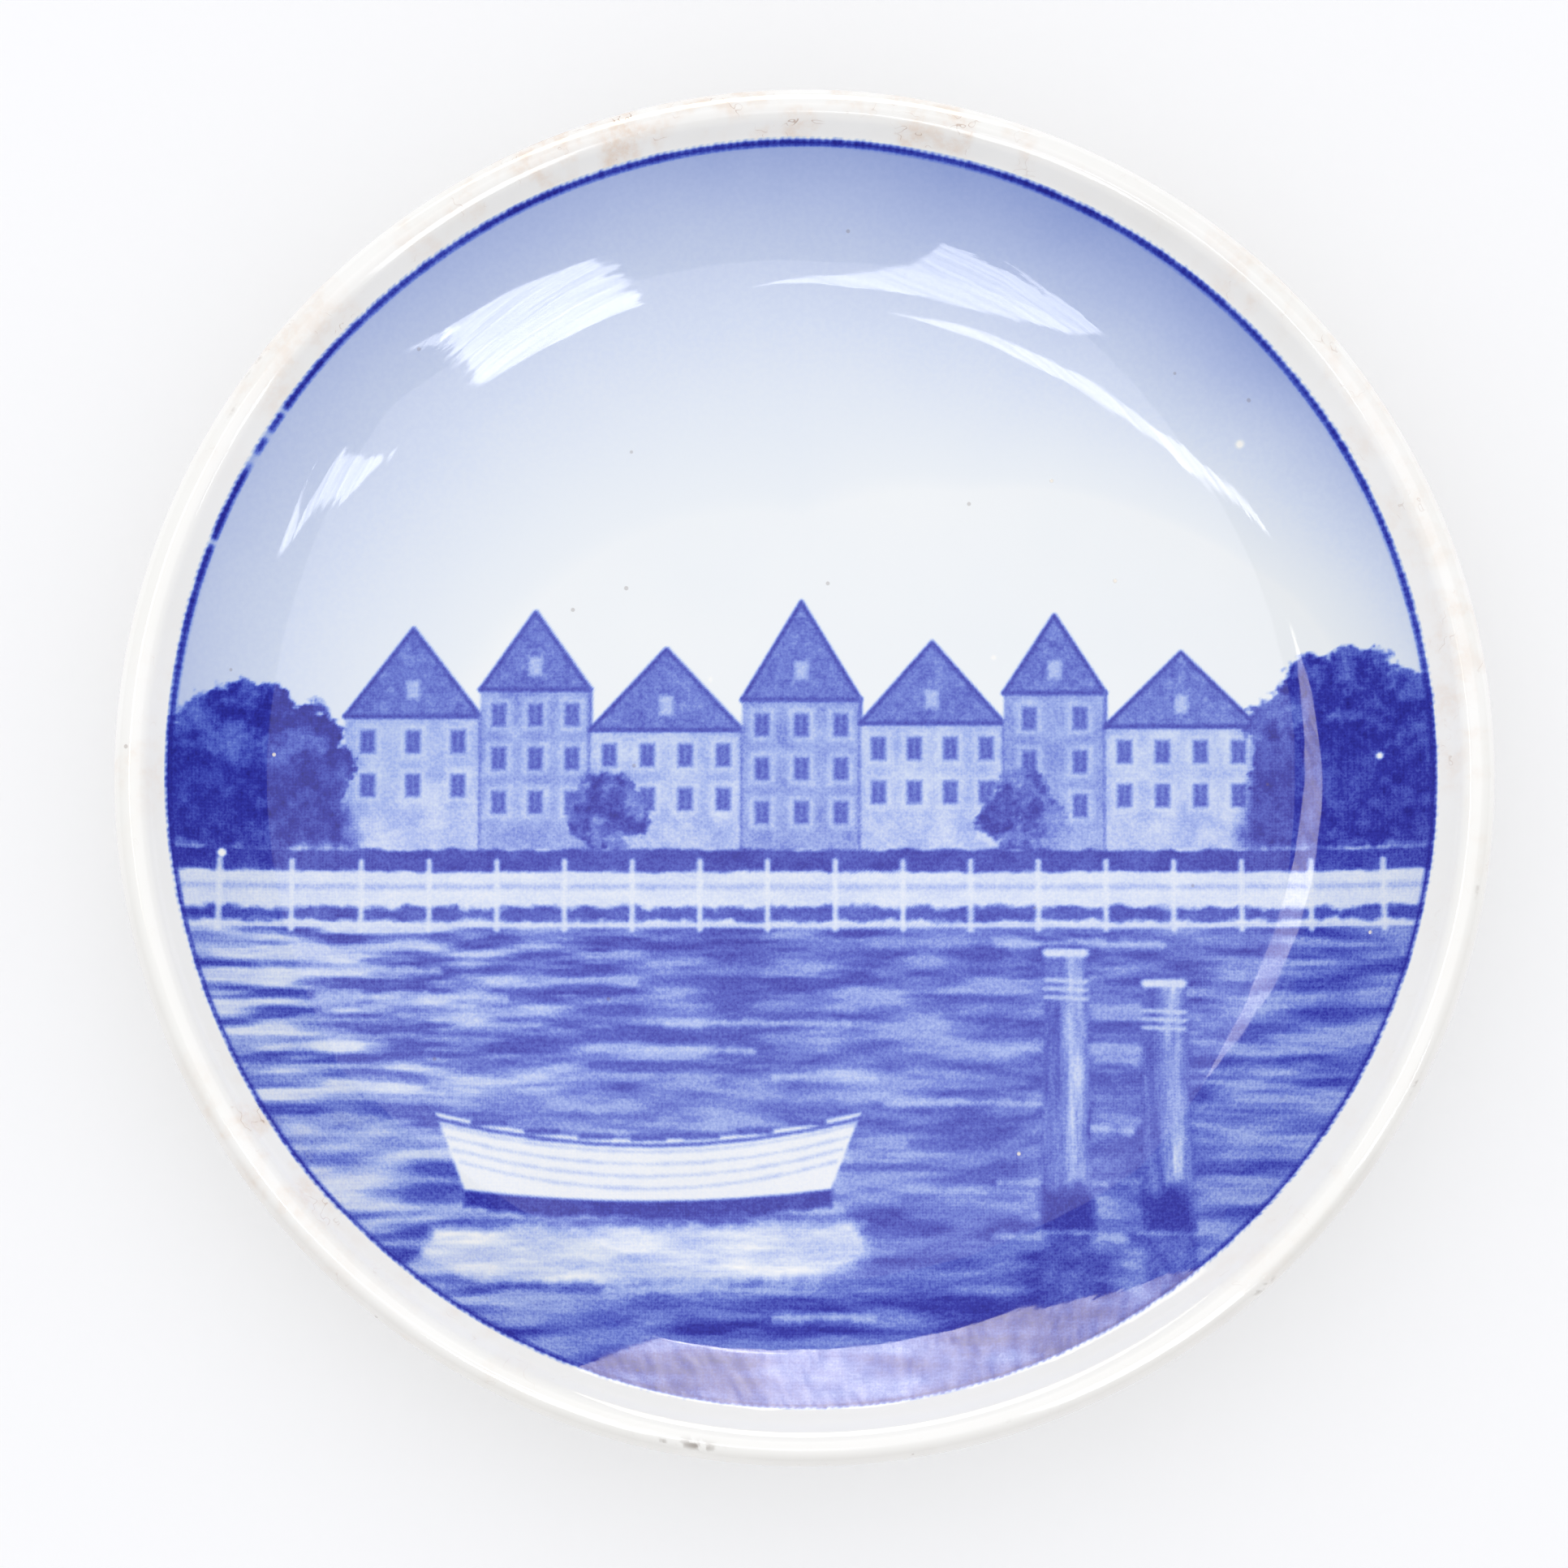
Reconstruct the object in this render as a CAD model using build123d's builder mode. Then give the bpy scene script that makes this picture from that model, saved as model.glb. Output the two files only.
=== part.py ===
"""A small round souvenir plate of white faience for a wall or a shelf.

The plate is one fired body with a foot ring, two hanging holes through that ring, three thin layers of
underglaze colour in its well (a sprayed sky, a printed harbour view and a painted edge line) and a clear
glaze over everything but the foot. The body's layers are modelled as fitted solids, because each of them
is put on, and can be studied, by itself. The glaze is three of them: the face's down to the lip's widest
line, the back's, and the disc inside the foot ring.

Millimetres, +Z up. The origin is the centre of the foot ring's resting face. +Y is the top of the picture.
"""

import math
import os

from build123d import *

# The glazed plate's section, as a radius from the axis and a height above the table.
PLATE_RADIUS = 40.0
FOOT_HEIGHT = 3.2
FLOOR_THICKNESS = 3.0
WELL_FLAT_RADIUS = 25.0
COVE_RADIUS = 17.0
LIP_ROUND = 1.15
BACK_ROUND = 16.0

# The foot ring, which tapers from its root to the table.
FOOT_OUTER_RADIUS = 24.2
FOOT_INNER_RADIUS = 21.2
FOOT_TAPER = 0.35
FOOT_ROOT_FILLET = 0.9
FOOT_EDGE_FILLET = 0.25

# The coats. The colour lies on the fired body, under the glaze.
GLAZE_THICKNESS = 0.35
COLOUR_THICKNESS = 0.10
GLAZE_LINE_HEIGHT = 0.5
PICTURE_RADIUS = 36.9
EDGE_LINE_WIDTH = 0.5

# The pair of hanging holes, bored outwards through the foot ring under the top of the picture.
HANGING_HOLE_RADIUS = 0.9
HANGING_HOLE_HEIGHT = 1.75
HANGING_HOLE_ANGLE = 12.0

# The printed view, on the picture's own plane: X to the right, Y up, from the plate's centre. A row of gabled
# houses stands side by side along the shore, with a tree at each end.
SHORE_TOP = -1.6
ROW_START = -27.0
HOUSES = [  # width, eaves height, ridge height
    (8.0, 3.4, 8.6),
    (6.5, 5.0, 9.6),
    (9.0, 2.6, 7.4),
    (7.0, 4.4, 10.2),
    (8.5, 3.0, 7.8),
    (6.0, 4.8, 9.4),
    (9.0, 2.8, 7.2),
]
TREES = [  # centre x, centre y, half width, half height
    (-32.2, 0.2, 5.8, 5.0),
    (32.2, 1.4, 6.4, 6.4),
]

floor_height = FOOT_HEIGHT + FLOOR_THICKNESS
lip_radius = PLATE_RADIUS - LIP_ROUND
cove_centre = Vector(WELL_FLAT_RADIUS, floor_height + COVE_RADIUS)
cove_sweep = math.asin((lip_radius - WELL_FLAT_RADIUS) / (COVE_RADIUS + LIP_ROUND))
lip_centre = cove_centre + Vector(math.sin(cove_sweep), -math.cos(cove_sweep)) * (COVE_RADIUS + LIP_ROUND)
back_centre_height = FOOT_HEIGHT + BACK_ROUND
back_reach = math.sqrt((BACK_ROUND - LIP_ROUND) ** 2 - (back_centre_height - lip_centre.Y) ** 2)
back_centre = Vector(lip_radius - back_reach, back_centre_height)
back_sweep = math.degrees(math.asin(back_reach / (BACK_ROUND - LIP_ROUND)))
plate_height = lip_centre.Y + LIP_ROUND
picture_field_radius = PICTURE_RADIUS - EDGE_LINE_WIDTH
foot_trim = 1.0  # the section runs on this far below the table, so that the coats can be trimmed there
reach = 2 * PLATE_RADIUS


def half_outline():
    """The glazed plate's outline on one side of the axis, from the well round the lip to the underside."""
    cove_degrees = math.degrees(cove_sweep)
    foot_taper = FOOT_TAPER * (FOOT_HEIGHT + foot_trim) / FOOT_HEIGHT
    Line((0, floor_height), (WELL_FLAT_RADIUS, floor_height))
    CenterArc(cove_centre, COVE_RADIUS, -90, cove_degrees)
    CenterArc(lip_centre, LIP_ROUND, 90 + cove_degrees, -(cove_degrees + 180 - back_sweep))
    back = CenterArc(back_centre, BACK_ROUND, back_sweep - 90, -back_sweep)
    Polyline(
        back @ 1,
        (FOOT_OUTER_RADIUS, FOOT_HEIGHT),
        (FOOT_OUTER_RADIUS - foot_taper, -foot_trim),
        (FOOT_INNER_RADIUS + foot_taper, -foot_trim),
        (FOOT_INNER_RADIUS, FOOT_HEIGHT),
        (0, FOOT_HEIGHT),
        (0, floor_height),
    )


def right_half(height):
    """Keeps what a sketch holds beside the axis and above a height."""
    with Locations((reach / 2, height + reach / 2)):
        Rectangle(reach, reach, mode=Mode.INTERSECT)


def drill_hanging_holes():
    """Bores the hanging holes outwards through the foot ring."""
    ring_middle = (FOOT_OUTER_RADIUS + FOOT_INNER_RADIUS) / 2
    bore_length = 2 * (FOOT_OUTER_RADIUS - FOOT_INNER_RADIUS)
    for side in (-1, 1):
        angle = math.radians(90 + side * HANGING_HOLE_ANGLE)
        outwards = Vector(math.cos(angle), math.sin(angle), 0)
        seat = Plane(origin=outwards * ring_middle + Vector(0, 0, HANGING_HOLE_HEIGHT), z_dir=outwards)
        with Locations(seat):
            Cylinder(HANGING_HOLE_RADIUS, bore_length, mode=Mode.SUBTRACT)


# The whole section, both sides of the axis, so that its coats can be found by moving its outline inwards.
with BuildSketch(Plane.XZ) as glazed_section:
    with BuildLine():
        half_outline()
    make_face()
    roots = [v for v in glazed_section.vertices() if abs(v.Y - FOOT_HEIGHT) < 0.01]
    fillet([v for v in roots if FOOT_INNER_RADIUS - 0.1 < v.X < FOOT_OUTER_RADIUS + 0.1], FOOT_ROOT_FILLET)
    mirror(about=Plane.YZ)

with BuildSketch(Plane.XZ) as body_outline:
    add(glazed_section.sketch_local)
    offset(amount=-GLAZE_THICKNESS, mode=Mode.REPLACE)

# The face's side of the section: all above a line inside the floor and wall that ends at the lip's widest.
with BuildSketch(Plane.XZ) as face_side:
    with Locations((0, floor_height - LIP_ROUND)):
        Rectangle(WELL_FLAT_RADIUS, reach, align=Align.MIN)
    with Locations(cove_centre):
        Circle(COVE_RADIUS + LIP_ROUND)
    with Locations(lip_centre):
        Rectangle(reach, reach, align=Align.MIN)

with BuildSketch(Plane.XZ) as colour_section:
    add(glazed_section.sketch_local)
    offset(amount=COLOUR_THICKNESS - GLAZE_THICKNESS, mode=Mode.REPLACE)
    add(body_outline.sketch_local, mode=Mode.SUBTRACT)
    add(face_side.sketch_local, mode=Mode.INTERSECT)
    with Locations((0, 0)):
        Rectangle(PICTURE_RADIUS, reach, align=Align.MIN, mode=Mode.INTERSECT)

with BuildSketch(Plane.XZ) as body_section:
    add(body_outline.sketch_local)
    right_half(0)
    fillet(body_section.vertices().group_by(Axis.Y)[0], FOOT_EDGE_FILLET)

with BuildSketch(Plane.XZ) as glaze_section:
    add(glazed_section.sketch_local)
    add(body_outline.sketch_local, mode=Mode.SUBTRACT)
    add(colour_section.sketch_local, mode=Mode.SUBTRACT)
    right_half(GLAZE_LINE_HEIGHT)

with BuildSketch(Plane.XZ) as glaze_face_section:
    add(glaze_section.sketch_local)
    add(face_side.sketch_local, mode=Mode.INTERSECT)

with BuildSketch(Plane.XZ) as glaze_back_section:
    add(glaze_section.sketch_local)
    add(face_side.sketch_local, mode=Mode.SUBTRACT)

# The part of the picture that is printed: the land and water, with the houses and trees.
with BuildSketch() as printed_area:
    with Locations((0, SHORE_TOP)):
        Rectangle(reach, reach, align=(Align.CENTER, Align.MAX))
    left = ROW_START
    for width, eaves, ridge in HOUSES:
        right = left + width
        Polygon((left, SHORE_TOP), (right, SHORE_TOP), (right, eaves), (left + width / 2, ridge), (left, eaves), align=None)
        left = right
    for x, y, half_width, half_height in TREES:
        with Locations((x, y)):
            Ellipse(half_width, half_height)

with BuildPart() as plate_body:
    revolve(body_section.sketch, axis=Axis.Z)
    drill_hanging_holes()

with BuildPart() as glaze_face:
    revolve(glaze_face_section.sketch, axis=Axis.Z)

with BuildPart() as glaze_back:
    revolve(glaze_back_section.sketch.faces().sort_by(Axis.Z)[-1], axis=Axis.Z)
    drill_hanging_holes()

with BuildPart() as glaze_underside:
    revolve(glaze_back_section.sketch.faces().sort_by(Axis.Z)[0], axis=Axis.Z)
    drill_hanging_holes()

with BuildPart() as colour_coat:
    revolve(colour_section.sketch, axis=Axis.Z)

with BuildPart() as edge_line:
    add(colour_coat.part)
    Cylinder(picture_field_radius, reach, mode=Mode.SUBTRACT)

with BuildPart() as harbour_print:
    add(colour_coat.part)
    Cylinder(picture_field_radius, reach, mode=Mode.INTERSECT)
    extrude(printed_area.sketch, amount=reach, mode=Mode.INTERSECT)

with BuildPart() as sky_spray:
    add(colour_coat.part)
    Cylinder(picture_field_radius, reach, mode=Mode.INTERSECT)
    extrude(printed_area.sketch, amount=reach, mode=Mode.SUBTRACT)

pieces = {
    "plate_body": plate_body,
    "sky_spray": sky_spray,
    "harbour_print": harbour_print,
    "edge_line": edge_line,
    "glaze_face": glaze_face,
    "glaze_back": glaze_back,
    "glaze_underside": glaze_underside,
}

os.makedirs("parts", exist_ok=True)
for name, piece in pieces.items():
    piece.part.label = name
    export_step(piece.part, f"parts/{name}.step")
print(f"plate {2 * PLATE_RADIUS:.1f} mm across, {plate_height:.2f} mm high, well floor at {floor_height:.2f} mm")
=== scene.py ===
"""The looks of the souvenir plate: a glazed white dish with a cobalt harbour view under its glaze.

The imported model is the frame. One piece stands for everything seen on the face: the clear glaze, the
sprayed sky, the printed view and the painted edge line, which are one smooth surface to the eye. The
picture is painted in code onto that surface's own points, in millimetres, and its material turns the
amounts of ink, spray and stain into cobalt, tinted glaze and old brown crazing.
"""

import math

import bpy
import numpy as np
from mathutils import Matrix, Vector


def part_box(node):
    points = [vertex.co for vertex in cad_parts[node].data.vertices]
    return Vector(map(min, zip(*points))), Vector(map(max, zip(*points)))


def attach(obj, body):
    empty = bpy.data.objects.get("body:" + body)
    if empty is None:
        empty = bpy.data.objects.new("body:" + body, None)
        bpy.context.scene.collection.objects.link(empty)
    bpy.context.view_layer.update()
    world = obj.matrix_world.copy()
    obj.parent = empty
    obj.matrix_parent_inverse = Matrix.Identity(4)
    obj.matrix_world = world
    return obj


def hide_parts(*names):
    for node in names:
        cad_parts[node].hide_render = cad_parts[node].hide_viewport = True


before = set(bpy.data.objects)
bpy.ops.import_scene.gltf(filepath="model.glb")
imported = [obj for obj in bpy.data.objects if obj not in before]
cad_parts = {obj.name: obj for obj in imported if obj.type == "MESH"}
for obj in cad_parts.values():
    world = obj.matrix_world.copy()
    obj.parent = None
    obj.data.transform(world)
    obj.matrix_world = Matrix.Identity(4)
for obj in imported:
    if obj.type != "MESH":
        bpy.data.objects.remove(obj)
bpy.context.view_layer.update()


def span(node):
    """A CAD node's lowest and highest corners, in millimetres."""
    low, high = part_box(node)
    return np.array(low) * 1000.0, np.array(high) * 1000.0


# The glazed face's section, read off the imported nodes. Its flat middle ends where the cove starts.
WELL_FLAT_RADIUS = 25.0
plate_radius = span("glaze_face")[1][0]
crest_height = span("glaze_face")[1][2]
lip_height = span("glaze_back")[1][2]
lip_round = crest_height - lip_height
lip_radius = plate_radius - lip_round
glaze_thickness = plate_radius - span("plate_body")[1][0]
floor_height = span("harbour_print")[0][2] + glaze_thickness
picture_radius = span("edge_line")[1][0]
wall_reach = lip_radius - WELL_FLAT_RADIUS
wall_rise = lip_height - floor_height
cove_radius = (wall_reach**2 + wall_rise**2 - lip_round**2) / (2.0 * (wall_rise + lip_round))
cove_sweep = math.asin(wall_reach / (cove_radius + lip_round))
cove_end = lip_radius - lip_round * math.sin(cove_sweep)

# The face's mesh: a square grid drawn out into a disc, then rings over the lip.
GRID_CELLS = 660
LIP_RINGS = 26
LIP_WAVE = 0.035  # how far the hand-fettled lip sinks below its true round, in mm

# The printed view, made up for this plate: a row of gabled houses on a quay, as in the CAD's print.
ROW_START = -27.0
HOUSES = (  # width, eaves height, ridge height
    (8.0, 3.4, 8.6),
    (6.5, 5.0, 9.6),
    (9.0, 2.6, 7.4),
    (7.0, 4.4, 10.2),
    (8.5, 3.0, 7.8),
    (6.0, 4.8, 9.4),
    (9.0, 2.8, 7.2),
)
TREES = ((-32.2, 0.2, 5.8, 5.0), (32.2, 1.4, 6.4, 6.4))  # centre x, centre y, half width, half height
QUAY_TOP = -4.5
SHORE = -8.9
VIEW_END = 37.5  # the picture's bands run this far to either side, past its edge

# How the picture lies on the plate.
PRINT_OFFSET = (-0.15, 0.2)
EDGE_LINE_WIDTH = 0.35
PINHOLES = ((25.9, 19.4, 0.25), (33.9, 0.9, 0.2), (-33.9, -4.8, 0.25), (11.4, 6.9, 0.12), (-5.4, 5.6, 0.1))
SOFT = 0.13  # half the width of a printed edge, in mm
SPRAY_LEAST = 0.035  # the sky's faintest mist, of the most it can be
TOUCH_PITCH = 0.43  # along the edge line, in mm

# The glaze and its studio.
GLAZE_IOR = 1.52
SURROUND_LIGHT = 0.98
SURROUND_MIRRORED = 0.28  # what the glaze mirrors is the room beyond the lights
LIGHT_EDGE = 0.006  # how softly a mirrored light ends, in metres on the light
WOBBLE_SIZE = 0.03
STREAK_WIDTH, STREAK_LENGTH = 0.008, 0.12

# The camera, as far off as it must be for the plate to fill that share of the frame's width.
LENS, SENSOR = 100.0, 36.0
FRAME_SHARE = 0.8802
CAMERA_ELEVATION = math.radians(86.3)
STUDIO_REACH = 0.60  # from the plate to the lights that its glaze mirrors, in metres
camera_distance = plate_radius / FRAME_SHARE / (SENSOR / 2.0 / LENS) / 1000.0
camera_aim = Vector((-1.18, -0.75, lip_height)) / 1000.0
camera_lean = Vector((0.0, -math.cos(CAMERA_ELEVATION), math.sin(CAMERA_ELEVATION)))
camera_place = camera_aim + camera_lean * camera_distance


def smoothstep(low, high, value):
    """0 below low, 1 above high, and a smooth rise between."""
    share = np.clip((value - low) / (high - low), 0.0, 1.0)
    return share * share * (3.0 - 2.0 * share)


LATTICE = np.random.default_rng(11).random((256, 256))


def noise(x, y):
    """Smooth noise from 0 to 1, one bump to a unit."""
    column, row = np.floor(x), np.floor(y)
    across, up = x - column, y - row
    across = across * across * (3.0 - 2.0 * across)
    up = up * up * (3.0 - 2.0 * up)
    i, j = column.astype(int) % 256, row.astype(int) % 256
    i_next, j_next = (i + 1) % 256, (j + 1) % 256
    low = LATTICE[i, j] * (1.0 - across) + LATTICE[i_next, j] * across
    high = LATTICE[i, j_next] * (1.0 - across) + LATTICE[i_next, j_next] * across
    return low * (1.0 - up) + high * up


def fractal(x, y, octaves=4):
    """Noise with finer and fainter octaves added, from about 0.1 to 0.9."""
    total, weight, sum_of_weights = 0.0, 1.0, 0.0
    for octave in range(octaves):
        step = 2.0**octave
        total = total + weight * noise(x * step + 17.3 * octave, y * step + 9.1 * octave)
        sum_of_weights += weight
        weight *= 0.55
    return total / sum_of_weights


def line_distance(x, y, points):
    """The distance to an open line through the points."""
    distance = np.full(x.shape, np.inf)
    for (ax, ay), (bx, by) in zip(points, points[1:]):
        dx, dy = bx - ax, by - ay
        along = np.clip(((x - ax) * dx + (y - ay) * dy) / (dx * dx + dy * dy), 0.0, 1.0)
        distance = np.minimum(distance, np.hypot(x - ax - along * dx, y - ay - along * dy))
    return distance


def shape_distance(x, y, corners):
    """The distance to a closed outline, negative inside it."""
    closed = list(corners) + [corners[0]]
    inside = np.zeros(x.shape, bool)
    for (ax, ay), (bx, by) in zip(closed, closed[1:]):
        if ay != by:
            crosses = (ay > y) != (by > y)
            inside ^= crosses & (x < ax + (y - ay) * (bx - ax) / (by - ay))
    return np.where(inside, -1.0, 1.0) * line_distance(x, y, closed)


class Picture:
    """The amount of cobalt ink at each point of the dish, from 0 to 1, painted shape over shape."""

    def __init__(self, x, y):
        self.x, self.y = x, y
        self.ink = np.zeros(len(x))

    def near(self, points, margin):
        """The places that a shape through these points can reach."""
        low = np.min(points, axis=0) - margin
        high = np.max(points, axis=0) + margin
        wide = (self.x > low[0]) & (self.x < high[0])
        return np.flatnonzero(wide & (self.y > low[1]) & (self.y < high[1]))

    def lay(self, places, distance, tone, soft, strength=1.0):
        """Covers what lies inside a shape with a tone."""
        cover = strength * (1.0 - smoothstep(-soft, soft, distance))
        self.ink[places] += cover * (tone - self.ink[places])

    def area(self, corners, tone, soft=SOFT, ragged=0.0, mottle=0.0, grain=(0.6, 0.6), strength=1.0):
        """A filled outline, with a ragged edge or a tone mottled in a grain of that width and height."""
        places = self.near(corners, soft + ragged)
        x, y = self.x[places], self.y[places]
        distance = shape_distance(x, y, corners)
        if ragged:
            distance = distance + ragged * (2.0 * fractal(x / 0.9, y / 0.9) - 1.0)
        if mottle:
            tone = tone + mottle * (2.0 * fractal(x / grain[0], y / grain[1]) - 1.0)
        self.lay(places, distance, tone, soft, strength)

    def line(self, points, width, tone, soft=SOFT, strength=1.0, ragged=0.0):
        """A stroke of even width through the points."""
        places = self.near(points, width / 2.0 + soft + ragged)
        x, y = self.x[places], self.y[places]
        distance = line_distance(x, y, points) - width / 2.0
        if ragged:
            distance = distance + ragged * (2.0 * fractal(x / 0.8, y / 0.8) - 1.0)
        self.lay(places, distance, tone, soft, strength)

    def box(self, centre, width, height, tone, soft=SOFT, strength=1.0):
        """An upright rectangle."""
        x, y = centre
        corners = [(x - width / 2, y - height / 2), (x + width / 2, y - height / 2)]
        corners += [(x + width / 2, y + height / 2), (x - width / 2, y + height / 2)]
        self.area(corners, tone, soft, strength=strength)

    def foliage(self, crowns, dark, light, ragged=0.55, clump=1.7):
        """A tree or bush: round crowns run together, ragged at the edge, with lighter clumps inside."""
        centres = [(x, y) for x, y, _ in crowns]
        places = self.near(centres, max(radius for _, _, radius in crowns) + ragged)
        x, y = self.x[places], self.y[places]
        distance = np.full(x.shape, np.inf)
        for crown_x, crown_y, radius in crowns:
            distance = np.minimum(distance, np.hypot(x - crown_x, y - crown_y) - radius)
        leafy = 0.7 * fractal(x / 1.1, y / 1.1) + 0.3 * fractal(x / 0.32, y / 0.32 + 11.0, 2)
        distance = distance + ragged * 2.6 * (2.0 * leafy - 1.0)
        clumps = smoothstep(0.36, 0.66, fractal(x / clump, y / clump + 40.0))
        speckle = 0.16 * (2.0 * fractal(x / 0.35, y / 0.35) - 1.0)
        self.lay(places, distance, dark + (light - dark) * clumps + speckle, 0.2)


def paint_water(picture):
    """The harbour's water: long level ripples, brightest at the left, with a few bold strokes among them."""
    places = np.flatnonzero(picture.y < SHORE + 0.5)
    x, y = picture.x[places], picture.y[places]
    left = smoothstep(-6.0, -27.0, x)
    tone = 0.57 - 0.15 * left + 0.12 * smoothstep(-24.0, -34.0, y) + 0.06 * smoothstep(-15.0, SHORE, y)
    sway = 0.35 * (2.0 * noise(x / 9.0, y / 3.0 + 5.0) - 1.0)
    far = fractal(x / 3.8, (y + sway) / 0.56, 2)
    near = fractal(x / 5.2 + 20.0, (y + sway) / 0.86 + 7.0, 2)
    ripple = far + (near - far) * smoothstep(-15.0, -23.0, y)
    fine = fractal(x / 1.7 + 30.0, (y + sway) / 0.26 + 12.0, 2)
    contrast = 0.16 + 0.12 * left
    tone += contrast * (smoothstep(0.48, 0.72, ripple) - smoothstep(0.52, 0.28, ripple))
    tone += 0.09 * (2.0 * fine - 1.0)
    picture.lay(places, y - SHORE, np.clip(tone, 0.12, 0.90), 0.25)

    strokes = np.random.default_rng(5)
    for number in range(30):
        height = SHORE - 1.2 - 0.78 * number
        start = strokes.uniform(-31.0, 22.0)
        end = start + strokes.uniform(4.0, 11.0)
        points = [(start, height), ((start + end) / 2.0, height + 0.08), (end, height - 0.05)]
        picture.line(points, 0.38, 0.68 if number % 2 else 0.22, soft=0.24, strength=0.75, ragged=0.22)


def paint_houses(picture):
    """A row of gabled waterside houses, with their windows in even rows."""
    left = ROW_START
    for number, (width, eaves, ridge) in enumerate(HOUSES):
        right = left + width
        middle = (left + right) / 2.0
        wall = 0.40 if number % 2 else 0.27
        picture.area([(left, QUAY_TOP), (right, QUAY_TOP), (right, eaves), (left, eaves)], wall, mottle=0.16,
                     grain=(1.2, 1.2))
        picture.area([(left, eaves), (middle, ridge), (right, eaves)], 0.58, mottle=0.16, grain=(0.45, 0.45))
        picture.line([(left, eaves), (middle, ridge), (right, eaves)], 0.26, 0.80)
        picture.line([(left, eaves), (right, eaves)], 0.28, 0.76, soft=0.12)
        picture.line([(right, eaves), (right, QUAY_TOP)], 0.24, 0.62)
        columns = int(width / 2.1)
        for column in range(columns):
            window_x = left + width * (column + 0.5) / columns
            for window_y in np.arange(eaves - 1.5, QUAY_TOP + 1.4, -2.6):
                picture.box((window_x, window_y), 1.5, 1.9, 0.12, soft=0.3, strength=0.6)
                picture.box((window_x, window_y), 0.85, 1.35, 0.68, soft=0.2)
                picture.box((window_x, window_y + 0.15), 0.12, 1.1, 0.40, strength=0.5)
        picture.box((middle, eaves + 0.30 * (ridge - eaves)), 0.8, 1.1, 0.20, soft=0.2, strength=0.8)
        left = right


def level_band(top, bottom):
    """The corners of a level band across the whole picture."""
    return [(-VIEW_END, top), (VIEW_END, top), (VIEW_END, bottom), (-VIEW_END, bottom)]


def paint_quay(picture):
    """The quay's hedge and wall, with even posts, and the line where it meets the water."""
    picture.area(level_band(QUAY_TOP, SHORE), 0.14, mottle=0.06, grain=(2.0, 1.0))
    picture.area(level_band(QUAY_TOP, -5.8), 0.78, soft=0.15, ragged=0.16, mottle=0.12, grain=(1.2, 0.8))
    picture.area(level_band(-7.9, -8.7), 0.72, soft=0.2, ragged=0.34, mottle=0.12, grain=(1.5, 0.6))
    picture.line([(-37.0, -6.7), (37.0, -6.7)], 0.30, 0.34, soft=0.2, strength=0.8, ragged=0.1)
    for post_x in np.arange(-34.0, 35.0, 4.0):
        picture.line([(post_x, -5.2), (post_x, -9.2)], 0.34, 0.10, strength=0.85)
    picture.line([(-37.0, SHORE - 0.1), (37.0, SHORE - 0.1)], 0.24, 0.14, strength=0.9)


def paint_trees(picture):
    """A broad tree at each end of the row and two small ones before it, drawn as clumps of leaves."""
    for x, y, half_width, half_height in TREES:
        crowns = [(x, y, 0.5 * half_width)]
        for turn in np.arange(0.0, math.tau, math.tau / 9.0):
            out, up = 0.58 * half_width * math.cos(turn), 0.58 * half_height * math.sin(turn)
            crowns.append((x + out, y + up, 2.3))
        picture.foliage(crowns, 0.86, 0.60, ragged=0.35)
        picture.area([(x - half_width, QUAY_TOP), (x + half_width, QUAY_TOP), (x + 0.8 * half_width, y),
                      (x - 0.8 * half_width, y)], 0.80, soft=0.7, ragged=0.4, mottle=0.2)
    for x in (-11.5, 13.0):
        crowns = [(x, -1.2, 1.6), (x - 1.2, -2.6, 1.3), (x + 1.2, -2.5, 1.4), (x, -3.8, 1.2)]
        picture.foliage(crowns, 0.80, 0.54, ragged=0.3, clump=1.0)


def paint_boat(picture):
    """A clinker rowing boat, its shadow and the light on the water under it."""
    middle, half_length = -9.0, 12.5
    sheer_height, rise = -21.6, 1.6
    stations = np.linspace(-1.0, 1.0, 9)
    sheer = [(middle + half_length * at, sheer_height + rise * at * at) for at in stations]
    keel = [(middle + 0.86 * half_length * at, -25.2 + 0.7 * at * at) for at in stations[::-1]]
    glitter = [(middle + 1.05 * half_length * at, -28.6 - 1.4 * math.sqrt(1.0 - at * at)) for at in stations]
    glitter += [(middle + half_length, -26.6), (middle - half_length, -26.6)]
    picture.area(glitter, 0.16, soft=0.5, ragged=0.4, mottle=0.24, grain=(3.2, 0.45))
    shadow = [(x, y + 0.6) for x, y in keel] + [(x, y - 1.0) for x, y in keel[::-1]]
    picture.area(shadow, 0.82, soft=0.2, ragged=0.25, mottle=0.08)
    picture.area(sheer + keel, 0.05, soft=0.14)
    for plank in range(1, 5):
        drop, shorter = 0.72 * plank, 1.0 - 0.03 * plank
        points = [(middle + (x - middle) * shorter, y - drop) for x, y in sheer]
        picture.line(points, 0.16, 0.34, soft=0.14, strength=0.6, ragged=0.08)
    picture.line([(x, y - 0.34) for x, y in sheer], 0.24, 0.66, ragged=0.03)
    for at in np.arange(-0.75, 0.80, 0.25):
        x, y = middle + half_length * at, sheer_height + rise * at * at
        picture.line([(x - 0.9, y + 0.1), (x + 0.9, y + 0.1)], 0.36, 0.70, soft=0.16, ragged=0.05)


def tapered(x, half_top, top, half_bottom, bottom):
    """The corners of an upright stretch, with its half width at each end."""
    return [(x - half_top, top), (x + half_top, top), (x + half_bottom, bottom), (x - half_bottom, bottom)]


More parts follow.
